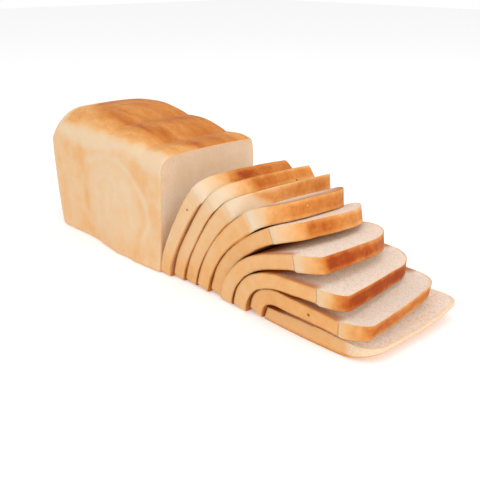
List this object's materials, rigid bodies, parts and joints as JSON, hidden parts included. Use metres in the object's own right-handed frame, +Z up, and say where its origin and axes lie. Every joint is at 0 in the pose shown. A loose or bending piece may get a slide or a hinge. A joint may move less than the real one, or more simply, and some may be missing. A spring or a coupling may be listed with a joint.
{
  "type": "part-sliced white tin loaf",
  "caption": "Long white tin loaf: an uncut block at one end, then slices that bend over and fan down onto the heel lying flat.",
  "frame": {"origin": "middle of the whole part's box, on the floor that the base crust stands on", "axes": "+X along the loaf from the uncut block to the heel, +Y across it to the far side, +Z up"},
  "size_m": [0.4242, 0.1254, 0.1299],
  "materials": {
    "crust": "baked crust: pale gold sides, a cream band at the rim and a blotchy brown crown",
    "slice_crust": "baked crust round slices whose cut faces are pale crumb",
    "crumb": "soft cream crumb with fine pores, and crust at its edge"
  },
  "bodies": {
    "root": {"uncut_block": "crust", "slice_1": "slice_crust", "slice_2": "slice_crust", "slice_3": "slice_crust", "slice_4": "slice_crust", "slice_5": "slice_crust", "slice_6": "slice_crust", "slice_7": "slice_crust", "slice_8": "slice_crust", "heel": "crumb"}
  },
  "joints": []
}
